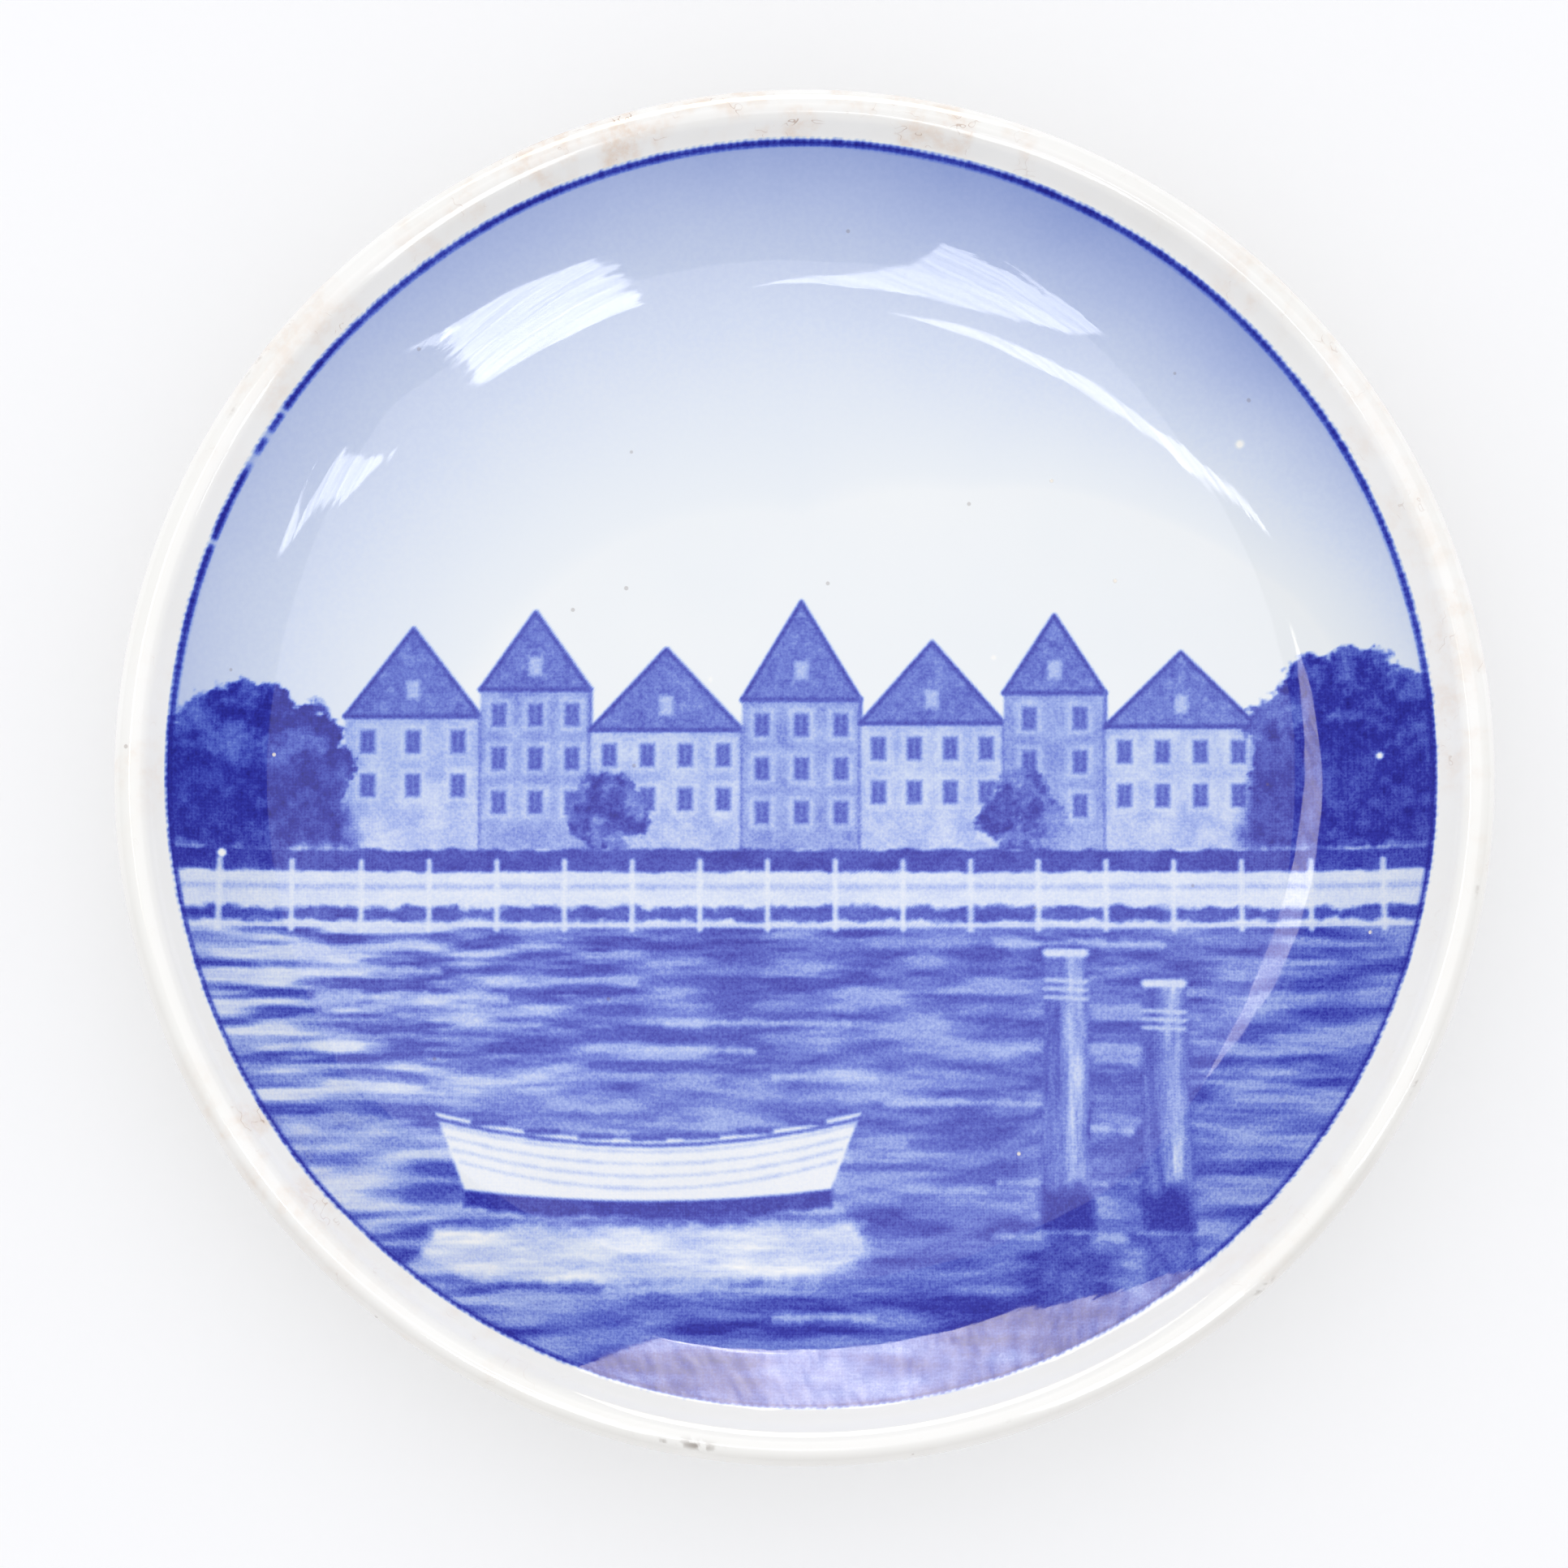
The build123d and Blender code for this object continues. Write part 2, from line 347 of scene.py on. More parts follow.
def paint_posts(picture):
    """Two upright mooring posts, with grained wood, wet feet and reflections."""
    foot = -27.0
    wet_top = foot + 2.4
    mirrored_foot = foot - 4.0
    for post_x, top in ((15.6, -10.6), (21.4, -12.4)):
        reflection = tapered(post_x, 1.2, top, 1.5, mirrored_foot)
        picture.area(reflection, 0.70, soft=0.5, ragged=0.4, mottle=0.2)
        post = tapered(post_x, 1.2, top, 1.5, foot)
        picture.area(post, 0.64, ragged=0.06, mottle=0.20, grain=(0.35, 3.0))
        lit = [(post_x - 0.1, top), (post_x + 0.9, top), (post_x + 1.1, foot + 3.0), (post_x, foot + 3.0)]
        picture.area(lit, 0.34, soft=0.4, ragged=0.2, mottle=0.26, grain=(0.3, 2.5))
        picture.area(tapered(post_x, 1.4, wet_top, 1.5, foot), 0.84, soft=0.5, ragged=0.5)
        picture.line([(post_x - 1.1, top), (post_x + 1.1, top)], 0.50, 0.16, soft=0.16)
        for drop in (1.6, 2.1, 2.6):
            rope = [(post_x - 1.2, top - drop), (post_x + 1.2, top - drop - 0.1)]
            picture.line(rope, 0.26, 0.20, strength=0.8)
        waterline = [(post_x - 1.8, foot), (post_x + 1.8, foot)]
        picture.line(waterline, 0.18, 0.24, soft=0.16, strength=0.6, ragged=0.12)


def paint_print(x, y):
    """The printed view, back to front. paint_edge then stops it at the edge line, with the line's own jagged
    edge.
    """
    picture = Picture(x, y)
    paint_houses(picture)
    paint_water(picture)
    paint_trees(picture)
    paint_quay(picture)
    paint_boat(picture)
    paint_posts(picture)
    return picture.ink


def paint_spray(x, y):
    """The sprayed sky: strongest at the rim and the upper right, fading to nothing above the roofs."""
    radius = np.hypot(x, y)
    azimuth = np.degrees(np.arctan2(y, x)) % 360.0
    from_edge = np.maximum(picture_radius - radius, 0.0)
    turns = (0.0, 20.0, 40.0, 60.0, 90.0, 130.0, 160.0, 190.0, 200.0)
    strength = np.interp(azimuth, turns, (0.10, 0.34, 0.70, 0.77, 0.67, 0.54, 0.41, 0.36, 0.0))
    reach = np.interp(azimuth, turns, (4.0, 4.5, 5.8, 8.0, 10.5, 10.5, 11.0, 9.0, 9.0))
    cloud = fractal(x / 8.0, y / 8.0, 3) - 0.5
    spray = np.clip(strength * np.exp(-from_edge / reach) - 0.05, SPRAY_LEAST, 1.0)
    return np.clip(spray * (1.0 + 0.25 * cloud), 0.0, 1.0) * smoothstep(-6.0, 2.0, y)


def paint_edge(x, y, ink, spray):
    """The painted edge line, made of short touches, and the bare rim outside it. It thins below the shore."""
    radius = np.hypot(x, y)
    turn = np.arctan2(y, x) * picture_radius
    drift = noise(turn / 5.0, turn * 0.0)
    regular = 0.5 + 0.5 * np.cos(math.tau * (turn / TOUCH_PITCH + 0.8 * drift))
    touches = 0.4 * regular + 0.6 * noise(turn / 0.44, turn * 0.0 + 3.0)
    border = picture_radius + 0.045 * (2.0 * touches - 1.0) + 0.03 * (2.0 * drift - 1.0)
    width = EDGE_LINE_WIDTH * (0.60 + 0.40 * smoothstep(-12.0, 4.0, y)) * (0.76 + 0.34 * touches)
    outer = smoothstep(0.10, -0.10, radius - border)
    inner = smoothstep(-0.12, 0.12, radius - border + width)
    strength = 0.66 + 0.22 * drift + 0.22 * touches
    for gap, wide in ((150.6, 0.9), (148.0, 0.5), (145.4, 0.3), (159.0, 0.3)):
        away = np.degrees(np.arctan2(y, x)) - gap
        strength = strength * (1.0 - 0.9 * np.exp(-((away / wide) ** 2)))
    line = outer * inner * np.clip(strength, 0.0, 1.0)
    ink = ink * outer
    ink = ink + line * np.maximum(0.90 - ink, 0.0)
    for pit_x, pit_y, pit_radius in PINHOLES:
        colour = smoothstep(pit_radius - 0.1, pit_radius + 0.1, np.hypot(x - pit_x, y - pit_y))
        ink, spray = ink * colour, spray * colour
    return ink, spray * outer


def grid_points(cells):
    """A square grid of points drawn out into a disc of radius 1, row by row."""
    side = np.linspace(-1.0, 1.0, cells + 1)
    a, b = np.meshgrid(side, side)
    wide = np.abs(a) >= np.abs(b)
    long_side = np.where(wide, a, b)
    short_side = np.where(wide, b, a)
    centre = long_side == 0.0
    quarter = np.where(centre, 0.0, short_side / np.where(centre, 1.0, long_side)) * math.pi / 4.0
    angle = np.where(wide, quarter, math.pi / 2.0 - quarter)
    return (long_side * np.cos(angle)).ravel(), (long_side * np.sin(angle)).ravel()


def well_height(radius):
    """The glazed face's height over the flat and up the cove."""
    out = np.maximum(radius - WELL_FLAT_RADIUS, 0.0)
    return floor_height + cove_radius - np.sqrt(cove_radius**2 - out**2)


def face_mesh():
    """The face's points in millimetres and its four-sided faces: the grid first, then the lip's rings."""
    unit_x, unit_y = grid_points(GRID_CELLS)
    x, y = unit_x * cove_end, unit_y * cove_end
    points = [np.column_stack([x, y, well_height(np.hypot(x, y))])]
    row = GRID_CELLS + 1
    corner = (np.arange(GRID_CELLS)[:, None] * row + np.arange(GRID_CELLS)[None, :]).ravel()
    quads = [np.column_stack([corner, corner + 1, corner + row + 1, corner + row])]

    steps = np.arange(GRID_CELLS)
    last = row * row - 1
    rim = np.concatenate([steps, GRID_CELLS + steps * row, last - steps, last - GRID_CELLS - steps * row])
    turn = np.arctan2(unit_y[rim], unit_x[rim])
    inner = rim
    for ring in range(1, LIP_RINGS + 1):
        around = math.pi / 2.0 + cove_sweep - (math.pi / 2.0 + cove_sweep) * ring / LIP_RINGS
        wave = fractal(np.cos(turn) * 3.0 + 9.0, np.sin(turn) * 3.0 + 9.0 + around, 3)
        lip = lip_round - LIP_WAVE * wave * math.sin(math.pi * ring / LIP_RINGS)
        radius = lip_radius + lip * math.cos(around)
        height = lip_height + lip * math.sin(around)
        outer = np.arange(len(rim)) + row * row + (ring - 1) * len(rim)
        points.append(np.column_stack([radius * np.cos(turn), radius * np.sin(turn), height]))
        quads.append(np.column_stack([inner, outer, np.roll(outer, -1), np.roll(inner, -1)]))
        inner = outer
    return np.concatenate(points), np.concatenate(quads)


RIM_STAINS = (  # azimuth and spread in degrees, and amount
    (108.0, 16.0, 1.0),
    (80.0, 14.0, 0.8),
    (42.0, 14.0, 0.6),
    (8.0, 16.0, 0.45),
    (140.0, 9.0, 0.5),
    (176.0, 7.0, 0.5),
    (216.0, 8.0, 0.9),
    (238.0, 6.0, 0.5),
    (322.0, 12.0, 0.35),
)
LIP_DIRT = (  # azimuth and spread in degrees, radius and thickness in mm, and amount
    (261.0, 1.5, 39.2, 0.28, 1.0),
    (257.6, 1.7, 39.3, 0.12, 0.9),
    (271.5, 2.0, 39.85, 0.09, 0.9),
    (311.6, 1.3, 39.7, 0.20, 0.8),
    (287.0, 0.5, 39.1, 0.10, 0.8),
    (143.5, 1.4, 39.75, 0.10, 0.6),
    (148.0, 0.7, 39.2, 0.06, 0.5),
    (333.0, 1.4, 39.5, 0.10, 0.6),
    (350.0, 1.0, 39.4, 0.12, 0.4),
)


def turned(angle, middle):
    """How far an angle is from another, from -180 to 180 degrees."""
    return (angle - middle + 180.0) % 360.0 - 180.0


def rim_stains(x, y):
    """Where old damp has browned the bare rim, from 0 to 1."""
    radius = np.hypot(x, y)
    angle = np.degrees(np.arctan2(y, x))
    bare = 0.30 * smoothstep(30.0, 35.0, radius)
    bare = bare + 0.70 * smoothstep(picture_radius - 0.4, picture_radius + 0.4, radius)
    stain = 0.0
    for middle, spread, amount in RIM_STAINS:
        stain = stain + amount * np.exp(-((turned(angle, middle) / spread) ** 2))
    patches = smoothstep(0.36, 0.70, fractal(x / 2.2, y / 2.2 + 60.0))
    return np.clip(stain, 0.0, 1.0) * patches * bare


def rim_grime_and_shade(x, y):
    """Dark dirt caught on the lip in a few places, plus painted shade on the rim's slopes that face away from
    the light, from 0 to 1.
    """
    radius = np.hypot(x, y)
    angle = np.degrees(np.arctan2(y, x))
    grime_and_shade = 0.0
    for middle, spread, at, thick, amount in LIP_DIRT:
        across = turned(angle, middle) / spread
        out = (radius - at) / thick
        grime_and_shade = grime_and_shade + amount * np.exp(-(across**2) - out**2)
    grime_and_shade = np.clip(grime_and_shade, 0.0, 1.0) * smoothstep(0.40, 0.66, fractal(x / 0.45 + 3.0, y / 0.45))
    # Painted shade, not wear: the outer lip is greyed towards the near side, and the inner band below the
    # crest towards the far side.
    painted_shade = 0.24 * smoothstep(38.9, 39.7, radius) * smoothstep(10.0, -25.0, y)
    inside = smoothstep(picture_radius, picture_radius + 0.6, radius) * smoothstep(39.2, 38.5, radius)
    painted_shade = painted_shade + 0.11 * inside * smoothstep(18.0, 34.0, y)
    return np.maximum(grime_and_shade, painted_shade * (0.7 + 0.6 * fractal(x / 3.0, y / 3.0)))


def add_amounts(mesh, name, values):
    """Stores one number at each of a mesh's points for its material to read."""
    layer = mesh.attributes.new(name, "FLOAT", "POINT")
    layer.data.foreach_set("value", np.asarray(values, np.float32))


def build_face():
    """The glazed face, with the amounts of ink, spray, stain, and grime with painted shade, at its points."""
    points, quads = face_mesh()
    mesh = bpy.data.meshes.new("glazed_face")
    mesh.vertices.add(len(points))
    mesh.vertices.foreach_set("co", (points / 1000.0).astype(np.float32).ravel())
    mesh.loops.add(quads.size)
    mesh.loops.foreach_set("vertex_index", quads.astype(np.int32).ravel())
    mesh.polygons.add(len(quads))
    mesh.polygons.foreach_set("loop_start", np.arange(0, quads.size, 4, dtype=np.int32))
    mesh.update(calc_edges=True)
    mesh.validate()
    mesh.shade_smooth()
    x, y = points[:, 0], points[:, 1]
    on_picture = (x - PRINT_OFFSET[0], y - PRINT_OFFSET[1])
    ink, spray = paint_edge(*on_picture, paint_print(*on_picture), paint_spray(*on_picture))
    add_amounts(mesh, "ink", ink)
    add_amounts(mesh, "spray", spray)
    add_amounts(mesh, "stain", rim_stains(x, y))
    add_amounts(mesh, "grime_and_shade", rim_grime_and_shade(x, y))
    face = bpy.data.objects.new("glazed_face", mesh)
    bpy.context.scene.collection.objects.link(face)
    return face


class Nodes:
    """A node tree, with short ways to add and join nodes."""

    def __init__(self, tree, coordinates=None):
        self.tree = tree
        self.coordinates = coordinates or tree.nodes.new("ShaderNodeTexCoord").outputs["Object"]

    def set(self, socket, value):
        """Joins a socket to another node's output, or gives it a value."""
        if isinstance(value, bpy.types.NodeSocket):
            self.tree.links.new(value, socket)
        else:
            socket.default_value = value

    def attribute(self, name):
        node = self.tree.nodes.new("ShaderNodeAttribute")
        node.attribute_name = name
        return node.outputs["Fac"]

    def noise(self, scale, detail=3.0, roughness=0.55, stretch=None):
        node = self.tree.nodes.new("ShaderNodeTexNoise")
        node.inputs["Scale"].default_value = scale
        node.inputs["Detail"].default_value = detail
        node.inputs["Roughness"].default_value = roughness
        where = self.coordinates
        if stretch:
            mapping = self.tree.nodes.new("ShaderNodeMapping")
            mapping.inputs["Scale"].default_value = stretch
            self.set(mapping.inputs["Vector"], where)
            where = mapping.outputs["Vector"]
        self.set(node.inputs["Vector"], where)
        return node.outputs["Fac"]

    def hairlines(self, scale):
        """Thin wandering lines, 1 on a line and 0 off it."""
        level = self.math("ABSOLUTE", self.math("SUBTRACT", self.noise(scale, 3.0, 0.6), 0.5))
        return self.spread(level, 0.001, 0.006, 1.0, 0.0)

    def cells(self, scale, randomness=1.0):
        node = self.tree.nodes.new("ShaderNodeTexVoronoi")
        node.feature = "F1"
        node.inputs["Scale"].default_value = scale
        node.inputs["Randomness"].default_value = randomness
        self.set(node.inputs["Vector"], self.coordinates)
        return node.outputs["Distance"]

    def math(self, operation, a, b=0.0, c=0.0):
        node = self.tree.nodes.new("ShaderNodeMath")
        node.operation = operation
        for socket, value in zip(node.inputs, (a, b, c)):
            self.set(socket, value)
        return node.outputs[0]

    def spread(self, value, low, high, to_low=0.0, to_high=1.0):
        """Maps low to high smoothly onto to_low to to_high, and holds it beyond."""
        node = self.tree.nodes.new("ShaderNodeMapRange")
        node.interpolation_type = "SMOOTHSTEP"
        for socket, number in zip(node.inputs, (value, low, high, to_low, to_high)):
            self.set(socket, number)
        return node.outputs["Result"]

    def mix(self, share, a, b, blend="MIX"):
        node = self.tree.nodes.new("ShaderNodeMix")
        node.data_type = "RGBA"
        node.blend_type = blend
        self.set(node.inputs["Factor"], share)
        for socket, colour in ((node.inputs["A"], a), (node.inputs["B"], b)):
            self.set(socket, display(colour) if isinstance(colour, tuple) else colour)
        return node.outputs["Result"]

    def ramp(self, value, stops):
        """The colour at a place along a ramp of (place, linear colour) stops."""
        node = self.tree.nodes.new("ShaderNodeValToRGB")
        elements = node.color_ramp.elements
        while len(elements) < len(stops):
            elements.new(0.5)
        for element, (place, colour) in zip(elements, stops):
            element.position = place
            element.color = colour
        self.set(node.inputs["Fac"], value)
        return node.outputs["Color"]

    def colours(self, value, stops):
        """A ramp of (place, colour on a screen) stops."""
        return self.ramp(value, [(place, display(colour)) for place, colour in stops])

    def line(self, value, points):
        """The height at a place along a line through (place, height) points, all from 0 to 1."""
        return self.ramp(value, [(place, (height, height, height, 1.0)) for place, height in points])

    def bump(self, height, strength, distance, normal=None):
        node = self.tree.nodes.new("ShaderNodeBump")
        node.inputs["Strength"].default_value = strength
        node.inputs["Distance"].default_value = distance
        self.set(node.inputs["Height"], height)
        if normal:
            self.set(node.inputs["Normal"], normal)
        return node.outputs["Normal"]


class Material(Nodes):
    """A new material with one Principled shader, and its node tree."""

    def __init__(self, name):
        self.material = bpy.data.materials.new(name)
        self.material.use_nodes = True
        super().__init__(self.material.node_tree)
        self.shader = self.tree.nodes["Principled BSDF"]


def display(colour):
    """A colour given from 0 to 255 as it looks on a screen, as the linear colour that a shader takes."""
    shares = [channel / 255.0 for channel in colour[:3]]
    linear = [share / 12.92 if share <= 0.04045 else ((share + 0.055) / 1.055) ** 2.4 for share in shares]
    return (*linear, 1.0)


PER_MM = 1000.0  # a texture scale of one cell to the millimetre, on coordinates in metres

# Colours on a screen, by the amount of spray and of ink.
SKY_COLOURS = (
    (0.0, (240, 243, 244)),
    (0.08, (229, 235, 243)),
    (0.2, (212, 222, 242)),
    (0.45, (180, 194, 232)),
    (0.7, (146, 164, 218)),
    (1.0, (104, 124, 198)),
)
COBALT_COLOURS = (
    (0.0, (255, 255, 255)),
    (0.12, (222, 231, 252)),
    (0.30, (170, 188, 244)),
    (0.50, (115, 134, 222)),
    (0.66, (80, 94, 200)),
    (0.82, (46, 50, 172)),
    (1.0, (24, 20, 134)),
)


def face_material():
    """Clear glaze over cobalt on white faience."""
    nodes = Material("glazed_faience_face")
    ink, spray = nodes.attribute("ink"), nodes.attribute("spray")
    stain, grime_and_shade = nodes.attribute("stain"), nodes.attribute("grime_and_shade")

    # The body under the glaze, a warm white with faint clouding.
    clouding = nodes.spread(nodes.noise(0.10 * PER_MM, 4.0), 0.35, 0.65)
    white = nodes.mix(clouding, (250, 249, 246), (252, 251, 249))

    # Crazing: wandering hairlines in the glaze, browned where damp has got in.
    hairline = nodes.hairlines(0.32 * PER_MM)
    patchy = nodes.spread(nodes.noise(0.30 * PER_MM, 3.0, stretch=(1.0, 1.0, 5.0)), 0.50, 0.60)
    blotches = nodes.spread(nodes.noise(0.9 * PER_MM, 4.0, 0.65), 0.38, 0.66, 0.25, 1.0)
    old = nodes.math("MULTIPLY", stain, blotches)
    white = nodes.mix(nodes.math("MULTIPLY", old, 0.42), white, (224, 178, 132))
    lined = nodes.math("MULTIPLY", hairline, nodes.math("ADD", nodes.math("MULTIPLY", stain, 0.70), 0.02))
    lined = nodes.math("MULTIPLY", lined, patchy)
    white = nodes.mix(lined, white, (158, 106, 66))

    # The sprayed sky, with the spray gun's fine spatter.
    spatter = nodes.spread(nodes.noise(3.2 * PER_MM, 2.0), 0.30, 0.70, -0.016, 0.016)
    misted = nodes.math("MULTIPLY_ADD", spatter, nodes.spread(spray, 0.02, 0.25), spray)
    sky = nodes.colours(misted, SKY_COLOURS)
    ground = nodes.mix(nodes.spread(spray, 0.0, 0.05), white, sky)

    # The printed cobalt, broken into the grain of its screen and a little uneven.
    grain = nodes.spread(nodes.noise(5.2 * PER_MM, 2.0, 0.7), 0.28, 0.72, -1.0, 1.0)
    dots = nodes.cells(5.6 * PER_MM, 0.25)
    dots = nodes.spread(dots, 0.15, 0.62, 1.0, -1.0)
    texture = nodes.math("ADD", nodes.math("MULTIPLY", grain, 0.075), nodes.math("MULTIPLY", dots, 0.035))
    middle_tones = nodes.math("MULTIPLY", ink, nodes.math("SUBTRACT", 1.25, ink))
    uneven = nodes.spread(nodes.noise(0.35 * PER_MM, 3.0), 0.3, 0.7, -0.035, 0.035)
    broken = nodes.math("ADD", nodes.math("MULTIPLY", texture, 2.6), uneven)
    amount = nodes.math("MULTIPLY_ADD", broken, middle_tones, ink)
    cobalt = nodes.colours(amount, COBALT_COLOURS)
    printed = nodes.mix(1.0, ground, cobalt, "MULTIPLY")

    # Pinholes and specks in the glaze, and dirt on the lip mixed with painted shade where the rim's slopes
    # face away from the light.
    pits = nodes.cells(0.16 * PER_MM)
    pinhole = nodes.spread(pits, 0.012, 0.024, 1.0, 0.0)
    printed = nodes.mix(nodes.math("MULTIPLY", pinhole, 0.8), printed, (250, 240, 226))
    specks = nodes.cells(0.23 * PER_MM)
    speck = nodes.math("MULTIPLY", nodes.spread(specks, 0.022, 0.036, 1.0, 0.0), 0.35)
    printed = nodes.mix(speck, printed, (120, 96, 84))
    printed = nodes.mix(nodes.math("MULTIPLY", grime_and_shade, 0.75), printed, (112, 96, 82))
    nodes.set(nodes.shader.inputs["Base Color"], printed)

    gloss = nodes.spread(nodes.noise(0.5 * PER_MM, 3.0), 0.3, 0.7, 0.015, 0.055)
    gloss = nodes.math("MULTIPLY_ADD", grime_and_shade, 0.5, gloss)
    nodes.set(nodes.shader.inputs["Roughness"], gloss)
    waves = nodes.bump(nodes.noise(0.14 * PER_MM, 2.0, 0.4), 0.35, 0.00012)
    pitted = nodes.bump(nodes.math("MULTIPLY", pinhole, -1.0), 0.5, 0.00006, waves)
    nodes.set(nodes.shader.inputs["Normal"], pitted)
    nodes.shader.inputs["IOR"].default_value = GLAZE_IOR
    return nodes.material


def back_material():
    """Cream glaze on the plain back, pooled a little and pricked with pinholes."""
    nodes = Material("glazed_faience_back")
    clouding = nodes.spread(nodes.noise(0.08 * PER_MM, 4.0), 0.35, 0.65)
    cream = nodes.mix(clouding, (240, 238, 230), (247, 246, 240))
    patchy = nodes.spread(nodes.noise(0.12 * PER_MM, 2.0), 0.50, 0.65, 0.0, 0.35)
    cream = nodes.mix(nodes.math("MULTIPLY", nodes.hairlines(0.20 * PER_MM), patchy), cream, (176, 134, 92))
    pits = nodes.cells(0.25 * PER_MM)
    pinhole = nodes.spread(pits, 0.025, 0.045, 1.0, 0.0)
    cream = nodes.mix(nodes.math("MULTIPLY", pinhole, 0.5), cream, (150, 128, 104))
    nodes.set(nodes.shader.inputs["Base Color"], cream)
    gloss = nodes.spread(nodes.noise(0.4 * PER_MM, 3.0), 0.3, 0.7, 0.05, 0.13)
    nodes.set(nodes.shader.inputs["Roughness"], gloss)
    waves = nodes.bump(nodes.noise(0.12 * PER_MM, 3.0, 0.5), 0.4, 0.00015)
    pitted = nodes.bump(nodes.math("MULTIPLY", pinhole, -1.0), 0.6, 0.0001, waves)
    nodes.set(nodes.shader.inputs["Normal"], pitted)
    nodes.shader.inputs["IOR"].default_value = GLAZE_IOR
    return nodes.material


def biscuit_material():
    """The fired body, bare where the foot rests: fine sandy grain, greyed by use."""
    nodes = Material("bare_faience")
    clouding = nodes.spread(nodes.noise(0.15 * PER_MM, 4.0), 0.3, 0.7)
    clay = nodes.mix(clouding, (222, 212, 194), (236, 229, 215))
    wear = nodes.spread(nodes.noise(0.6 * PER_MM, 5.0, 0.7), 0.50, 0.72, 0.0, 0.55)
    clay = nodes.mix(wear, clay, (164, 148, 126))
    nodes.set(nodes.shader.inputs["Base Color"], clay)
    nodes.set(nodes.shader.inputs["Roughness"], nodes.spread(wear, 0.0, 0.5, 0.85, 0.62))
    nodes.set(nodes.shader.inputs["Normal"], nodes.bump(nodes.noise(4.0 * PER_MM, 3.0, 0.6), 0.5, 0.00006))
    return nodes.material


def dress(node, material):
    """Gives a CAD node a material in every slot."""
    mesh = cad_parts[node].data
    if not mesh.materials:
        mesh.materials.append(material)
    for place in range(len(mesh.materials)):
        mesh.materials[place] = material


def add_floor():
    """A wide pale table."""
    half = 3.0
    mesh = bpy.data.meshes.new("floor")
    corners = [(-half, -half, 0.0), (half, -half, 0.0), (half, half, 0.0), (-half, half, 0.0)]
    mesh.from_pydata(corners, [], [(0, 1, 2, 3)])
    nodes = Material("pale_table")
    tint = nodes.mix(nodes.noise(6.0, 2.0), (250, 250, 252), (252, 252, 254))
    nodes.set(nodes.shader.inputs["Base Color"], tint)
    nodes.shader.inputs["Roughness"].default_value = 0.9
    nodes.shader.inputs["Specular IOR Level"].default_value = 0.1
    mesh.materials.append(nodes.material)
    floor = bpy.data.objects.new("floor", mesh)
    bpy.context.scene.collection.objects.link(floor)


def facing_plate(place):
    """The turn that points a light at this place towards the middle of the plate."""
    return (Vector((0.0, 0.0, 0.01)) - place).to_track_quat("-Z", "Y")


def add_light(name, place, wide, tall, radiance, tint=(1.0, 1.0, 1.0)):
    """A soft rectangular light, aimed at the plate. Sizes are in metres."""
    data = bpy.data.lights.new(name, "AREA")
    data.shape = "RECTANGLE"
    data.size, data.size_y = wide, tall
    data.energy = radiance * math.pi * wide * tall
    data.color = tint
    light = bpy.data.objects.new(name, data)
    light.location = place
    light.rotation_euler = facing_plate(place).to_euler()
    light.visible_camera = False
    bpy.context.scene.collection.objects.link(light)
    return light


def around(azimuth, elevation, distance):
    """A place in metres, by its azimuth from +X towards +Y and its elevation, in degrees."""
    turn, rise = math.radians(azimuth), math.radians(elevation)
    level = math.cos(rise)
    return distance * Vector((math.cos(turn) * level, math.sin(turn) * level, math.sin(rise)))


def mirrored(azimuth, radius):
    """Where in the studio the camera sees, mirrored in the face at this azimuth and radius (degrees, mm)."""
    turn = math.radians(azimuth)
    outward = Vector((math.cos(turn), math.sin(turn), 0.0))
    slope = math.asin(max(radius - WELL_FLAT_RADIUS, 0.0) / cove_radius)
    place = (outward * radius + Vector((0.0, 0.0, well_height(radius)))) / 1000.0
    normal = Vector((0.0, 0.0, math.cos(slope))) - outward * math.sin(slope)
    to_camera = (camera_place - place).normalized()
    return place + (2.0 * normal.dot(to_camera) * normal - to_camera) * STUDIO_REACH


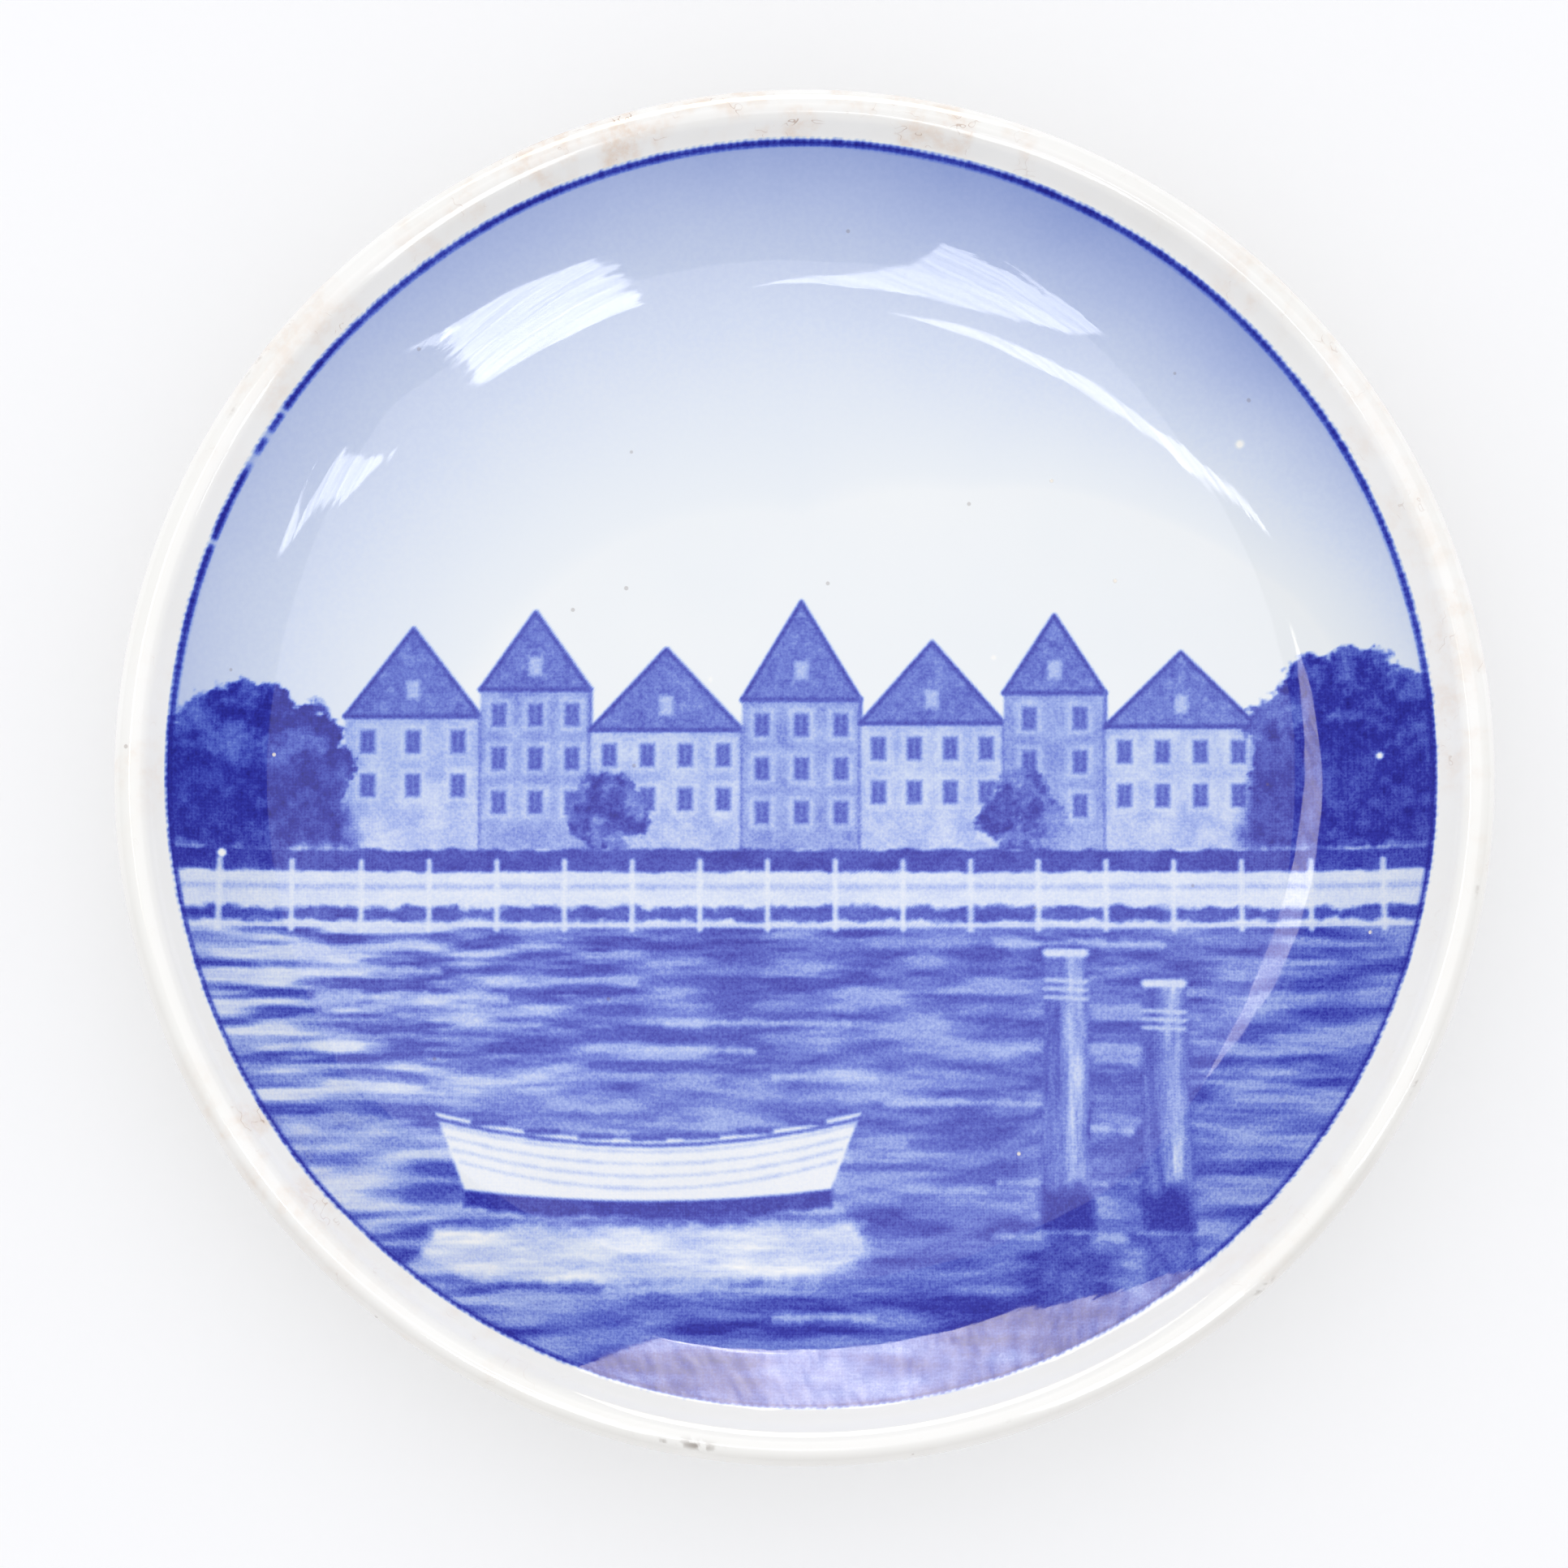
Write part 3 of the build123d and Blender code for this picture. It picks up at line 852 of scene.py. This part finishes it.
def add_reflection(name, outer, inner, radiance, tint, ragged, streaks, fade=None):
    """A light that only shows as a highlight on the face, between two lines on it.

    Each line is a list of places on the face, as (azimuth, radius) in degrees and mm. The highlight's edges
    are ragged by so many metres on the light, and its brightness varies in streaks by that share. A fade gives
    its strength along its length, as (place, strength) points from 0 to 1.
    """
    lines = [[mirrored(*place) for place in line] for line in (outer, inner)]
    places = lines[0] + lines[1]
    middle = sum(places, Vector()) / len(places)
    facing = middle.normalized()
    along = lines[0][-1] - lines[0][0]
    along = (along - facing * along.dot(facing)).normalized()
    turn = Matrix((along, facing.cross(along), facing)).transposed()
    lines = [[turn.transposed() @ (place - middle) for place in line] for line in lines]
    low_x, high_x = (pick(place.x for line in lines for place in line) for pick in (min, max))
    low_y, high_y = (pick(place.y for line in lines for place in line) for pick in (min, max))
    wide, tall = high_x - low_x, high_y - low_y
    centre = turn @ Vector(((low_x + high_x) / 2.0, (low_y + high_y) / 2.0, 0.0))
    light = add_light(name, middle + centre, wide, tall, radiance, tint)
    light.rotation_euler = turn.to_euler()
    light.visible_diffuse = False

    light.data.use_nodes = True
    tree = light.data.node_tree
    nodes = Nodes(tree, tree.nodes.new("ShaderNodeNewGeometry").outputs["Parametric"])
    parts = tree.nodes.new("ShaderNodeSeparateXYZ")
    nodes.set(parts.inputs[0], nodes.coordinates)
    wobble = nodes.noise(1.0, 4.0, 0.7, (wide / WOBBLE_SIZE, tall / WOBBLE_SIZE, 1.0))
    wobble = nodes.spread(wobble, 0.25, 0.75, -1.0, 1.0)
    across = nodes.math("MULTIPLY_ADD", wobble, ragged / wide, parts.outputs["X"])
    up = nodes.math("MULTIPLY_ADD", wobble, ragged / tall, parts.outputs["Y"])
    edges = []
    for line in lines:
        stops = sorted(((place.x - low_x) / wide, (place.y - low_y) / tall) for place in line)
        edges.append(nodes.line(across, stops))
    soft = LIGHT_EDGE / tall
    above = nodes.spread(nodes.math("SUBTRACT", up, edges[0]), 0.0, soft)
    below = nodes.spread(nodes.math("SUBTRACT", edges[1], up), 0.0, soft)
    streaky = nodes.noise(1.0, 3.0, 0.6, (wide / STREAK_WIDTH, tall / STREAK_LENGTH, 1.0))
    brightness = nodes.spread(streaky, 0.3, 0.7, 1.0 - streaks, 1.0 + streaks)
    strength = nodes.math("MULTIPLY", nodes.math("MULTIPLY", above, below), brightness)
    if fade:
        strength = nodes.math("MULTIPLY", strength, nodes.line(parts.outputs["X"], fade))
    nodes.set(tree.nodes["Emission"].inputs["Strength"], strength)


def add_lights():
    """An even bright surround, a soft light from the far side, and the windows that the glaze mirrors."""
    world = bpy.data.worlds.new("studio")
    world.use_nodes = True
    tree = world.node_tree
    surround = tree.nodes["Background"]
    surround.inputs["Color"].default_value = (0.985, 0.99, 1.0, 1.0)
    rays = tree.nodes.new("ShaderNodeLightPath")
    strength = tree.nodes.new("ShaderNodeMapRange")
    strength.inputs["To Min"].default_value = SURROUND_LIGHT
    strength.inputs["To Max"].default_value = SURROUND_MIRRORED
    tree.links.new(rays.outputs["Is Glossy Ray"], strength.inputs["Value"])
    tree.links.new(strength.outputs["Result"], surround.inputs["Strength"])
    bpy.context.scene.world = world

    add_light("key_far_side", around(104.0, 48.0, 0.90), 0.90, 0.90, 0.24)
    panel = add_light("panel_above", around(0.0, 81.0, STUDIO_REACH), 0.60, 0.62, 1.0, (1.0, 0.96, 1.0))
    panel.visible_diffuse = False

    daylight, sunlight, rosy = (0.97, 0.98, 1.0), (1.0, 0.98, 1.0), (1.0, 0.92, 0.76)
    add_reflection(
        "window_left",
        [(108.9, 29.7), (110.2, 31.2), (111.4, 33.0), (120.5, 33.5), (130.0, 34.0)],
        [(108.9, 29.7), (119.0, 29.7), (128.8, 30.0), (130.1, 30.2), (130.3, 32.2), (130.0, 34.0)],
        7.5, daylight, ragged=0.006, streaks=0.35,
    )
    add_reflection(
        "window_left_end",
        [(130.4, 34.0), (133.6, 34.5)],
        [(130.4, 33.3), (132.0, 33.1), (133.6, 34.4)],
        5.0, daylight, ragged=0.006, streaks=0.7,
    )
    add_reflection(
        "window_low_left",
        [(142.4, 31.2), (144.2, 33.3), (146.8, 34.2), (150.0, 33.9), (152.3, 33.3), (155.5, 33.2)],
        [(142.4, 31.1), (144.0, 30.8), (148.0, 31.4), (152.3, 32.9), (155.5, 33.1)],
        6.0, daylight, ragged=0.006, streaks=0.4,
    )
    add_reflection(
        "window_far",
        [(55.4, 31.7), (63.3, 32.0), (70.3, 32.9), (75.3, 32.7), (78.6, 31.0), (85.0, 30.1), (97.3, 29.4)],
        [(55.4, 31.6), (58.2, 30.8), (64.0, 30.0), (70.8, 29.5), (80.2, 29.4), (97.3, 29.3)],
        5.5, daylight, ragged=0.008, streaks=0.35,
    )
    add_reflection(
        "arc_upper_right",
        [(27.0, 31.1), (32.0, 31.0), (36.0, 30.4), (44.0, 29.6), (52.0, 29.15), (60.0, 28.95), (68.0, 28.6),
         (79.0, 28.2)],
        [(27.0, 31.0), (32.0, 30.4), (36.0, 29.35), (44.0, 28.85), (52.0, 28.4), (60.0, 28.05), (68.0, 27.9),
         (79.0, 28.1)],
        6.0, sunlight, ragged=0.008, streaks=0.45,
    )
    add_reflection(
        "arc_right",
        [(-37.0, 29.7), (-25.0, 30.3), (-12.0, 30.6), (0.0, 30.6), (8.0, 30.45), (15.0, 30.25)],
        [(-37.0, 29.5), (-25.0, 29.1), (-12.0, 29.2), (0.0, 29.5), (8.0, 29.7), (15.0, 29.95)],
        4.8, rosy, ragged=0.003, streaks=0.25,
    )
    add_reflection(
        "veil_near_side",
        [(-114.0, 37.1), (-50.0, 37.1)],
        [(-114.0, 37.0), (-104.0, 33.9), (-89.0, 33.6), (-70.0, 33.6), (-60.0, 35.1), (-54.0, 36.0),
         (-50.0, 37.0)],
        10.0, rosy, ragged=0.006, streaks=0.3, fade=[(0.0, 0.5), (0.35, 1.0), (0.6, 0.8), (1.0, 0.25)],
    )
    add_reflection(
        "veil_edge",
        [(-105.0, 33.95), (-97.0, 33.92), (-88.0, 33.7)],
        [(-105.0, 33.85), (-97.0, 33.72), (-88.0, 33.65)],
        10.0, sunlight, ragged=0.002, streaks=0.2,
    )


def add_camera():
    """Almost straight above, tilted a few degrees from the near side."""
    data = bpy.data.cameras.new("camera")
    data.lens, data.sensor_width = LENS, SENSOR
    data.clip_start = 0.01
    camera = bpy.data.objects.new("camera", data)
    camera.location = camera_place
    camera.rotation_euler = (camera_aim - camera_place).to_track_quat("-Z", "Y").to_euler()
    bpy.context.scene.collection.objects.link(camera)
    bpy.context.scene.camera = camera


face = build_face()
face.data.materials.append(face_material())
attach(face, "root")
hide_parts("glaze_face", "sky_spray", "harbour_print", "edge_line")

back_glaze = back_material()
dress("glaze_back", back_glaze)
dress("glaze_underside", back_glaze)
dress("plate_body", biscuit_material())

add_floor()
add_lights()
add_camera()
bpy.context.scene.view_settings.view_transform = "Standard"
